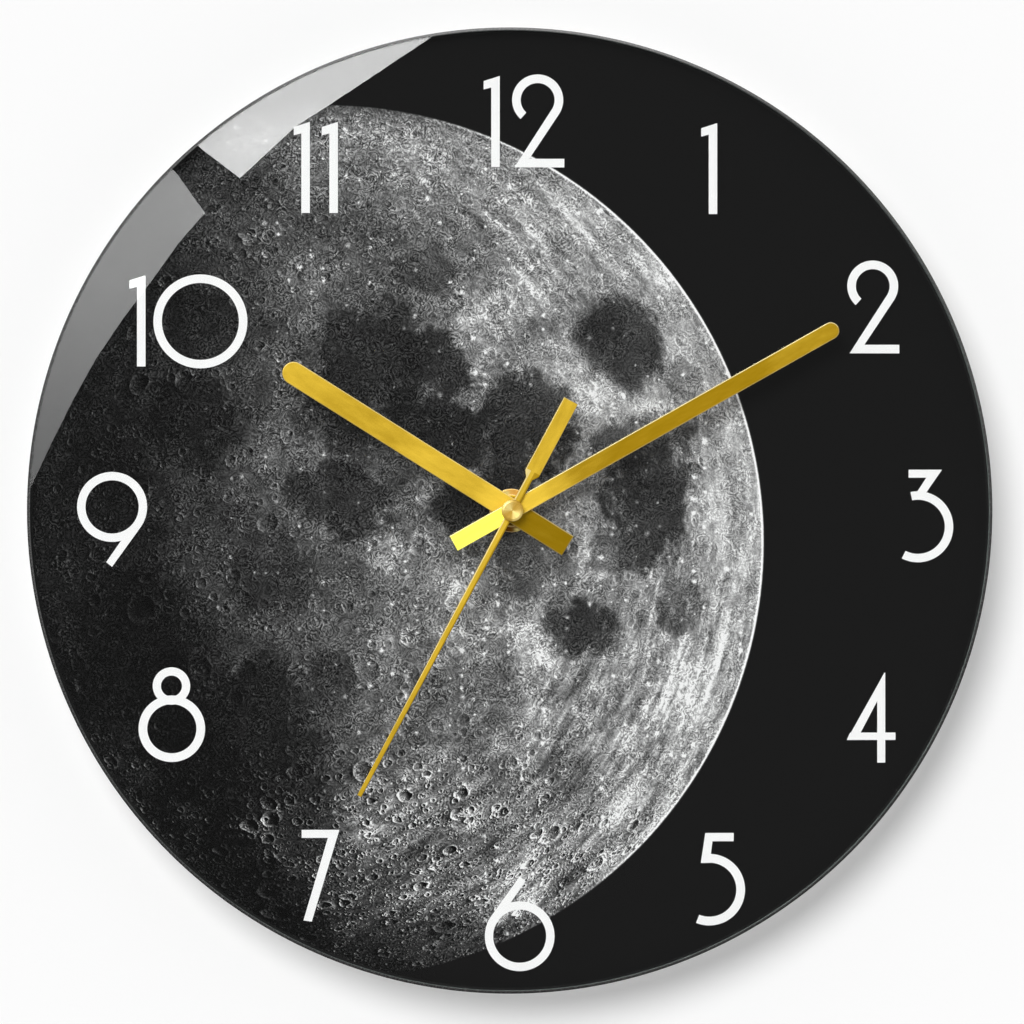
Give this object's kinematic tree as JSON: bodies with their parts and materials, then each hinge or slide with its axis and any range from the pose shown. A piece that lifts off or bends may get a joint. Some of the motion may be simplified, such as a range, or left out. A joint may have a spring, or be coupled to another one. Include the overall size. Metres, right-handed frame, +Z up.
{
  "type": "wall clock",
  "caption": "Frameless round glass wall clock with a printed dial behind the glass, three metal hands, a quartz movement with its gear train, an AA battery and a hanger.",
  "frame": {"origin": "on the wall plane, at the middle of the top edge of the hanger's eye, where the nail carries the clock; the axis of the hands is 36.8 mm below it", "axes": "+Z up, +X to the right of someone who reads the clock, +Y into the wall, so the dial faces -Y and a hand that turns clockwise turns about +Y"},
  "size_m": [0.3, 0.0308, 0.3],
  "materials": {
    "clear_glass": "clear, polished, with a ground chamfer",
    "printed_film": "printed",
    "black_rubber": "matte",
    "nut_brass": "polished",
    "bushing_brass": "machined",
    "brushed_gold": "gold anodised, brushed along its length",
    "spun_gold": "gold anodised, spun",
    "brass": "machined",
    "steel": "bright",
    "gear_plastic": "natural acetal",
    "contact_nickel": "nickel plated",
    "case_plastic": "fine moulded grain",
    "cover_plastic": "fine moulded grain",
    "plate_plastic": "moulded",
    "bobbin_plastic": "moulded",
    "enamelled_wire": "enamelled copper wire",
    "core_iron": "stamped",
    "stator_iron": "stamped",
    "magnet": "sintered",
    "knob_plastic": "moulded, ribbed edge",
    "board_laminate": "lacquered laminate",
    "chip_resin": "cast resin",
    "crystal_can": "drawn can",
    "cell_wrap": "printed sleeve over a metal can",
    "hanger_plastic": "moulded"
  },
  "bodies": {
    "clock_body": {"glass_dial": "clear_glass", "dial_film": "printed_film", "rubber_washer": "black_rubber", "round_nut": "nut_brass", "threaded_bushing": "bushing_brass", "movement_case": "case_plastic", "rear_cover": "cover_plastic", "middle_plate": "plate_plastic", "coil_bobbin": "bobbin_plastic", "coil_winding": "enamelled_wire", "coil_core": "core_iron", "stator_plate": "stator_iron", "circuit_board": "board_laminate", "timing_chip": "chip_resin", "quartz_crystal": "crystal_can", "negative_contact": "contact_nickel", "positive_contact": "contact_nickel", "hanger": "hanger_plastic"},
    "seconds": {"seconds_arbor": "steel", "seconds_wheel": "gear_plastic", "seconds_hand": "brushed_gold", "seconds_cap": "spun_gold"},
    "rotor": {"rotor_magnet": "magnet", "rotor_pinion": "gear_plastic"},
    "fifth": {"fifth_wheel": "gear_plastic"},
    "third": {"third_wheel": "gear_plastic"},
    "centre": {"centre_wheel": "gear_plastic"},
    "minute": {"cannon_tube": "brass", "clutch_spring": "steel", "minute_collet": "brass", "minute_hand": "brushed_gold"},
    "setting": {"minute_wheel": "gear_plastic", "setting_knob": "knob_plastic"},
    "hour": {"hour_wheel": "gear_plastic", "hour_collet": "brass", "hour_hand": "brushed_gold"},
    "battery": {"battery_cell": "cell_wrap"}
  },
  "joints": [
    {"name": "seconds_turn", "type": "hinge", "parent": "clock_body", "child": "seconds", "pos_m": [0, 0, -0.03683], "axis": [0, 1, 0], "continuous": true},
    {"name": "fifth_turn", "type": "hinge", "parent": "clock_body", "child": "fifth", "pos_m": [0.00146, 0, -0.02856], "axis": [0, 1, 0], "continuous": true},
    {"name": "rotor_turn", "type": "hinge", "parent": "clock_body", "child": "rotor", "pos_m": [-0.00046, 0, -0.0233], "axis": [0, 1, 0], "continuous": true},
    {"name": "third_turn", "type": "hinge", "parent": "clock_body", "child": "third", "pos_m": [0.00811, 0, -0.03901], "axis": [0, 1, 0], "continuous": true},
    {"name": "centre_turn", "type": "hinge", "parent": "clock_body", "child": "centre", "pos_m": [0, 0, -0.03683], "axis": [0, 1, 0], "continuous": true},
    {"name": "minute_turn", "type": "hinge", "parent": "clock_body", "child": "minute", "pos_m": [0, 0, -0.03683], "axis": [0, 1, 0], "continuous": true},
    {"name": "setting_turn", "type": "hinge", "parent": "clock_body", "child": "setting", "pos_m": [-0.00927, 0, -0.03435], "axis": [0, 1, 0], "continuous": true},
    {"name": "hour_turn", "type": "hinge", "parent": "clock_body", "child": "hour", "pos_m": [0, 0, -0.03683], "axis": [0, 1, 0], "continuous": true},
    {"name": "battery_slide", "type": "slide", "parent": "clock_body", "child": "battery", "axis": [0, 1, 0], "range_m": [0, 0.02]}
  ],
  "couplings": [
    {"joint": "fifth_turn", "follows": "seconds_turn", "ratio": -5},
    {"joint": "rotor_turn", "follows": "seconds_turn", "ratio": 30},
    {"joint": "third_turn", "follows": "seconds_turn", "ratio": -0.125},
    {"joint": "centre_turn", "follows": "seconds_turn", "ratio": 0.016667},
    {"joint": "setting_turn", "follows": "minute_turn", "ratio": -0.33333},
    {"joint": "hour_turn", "follows": "minute_turn", "ratio": 0.083333}
  ]
}
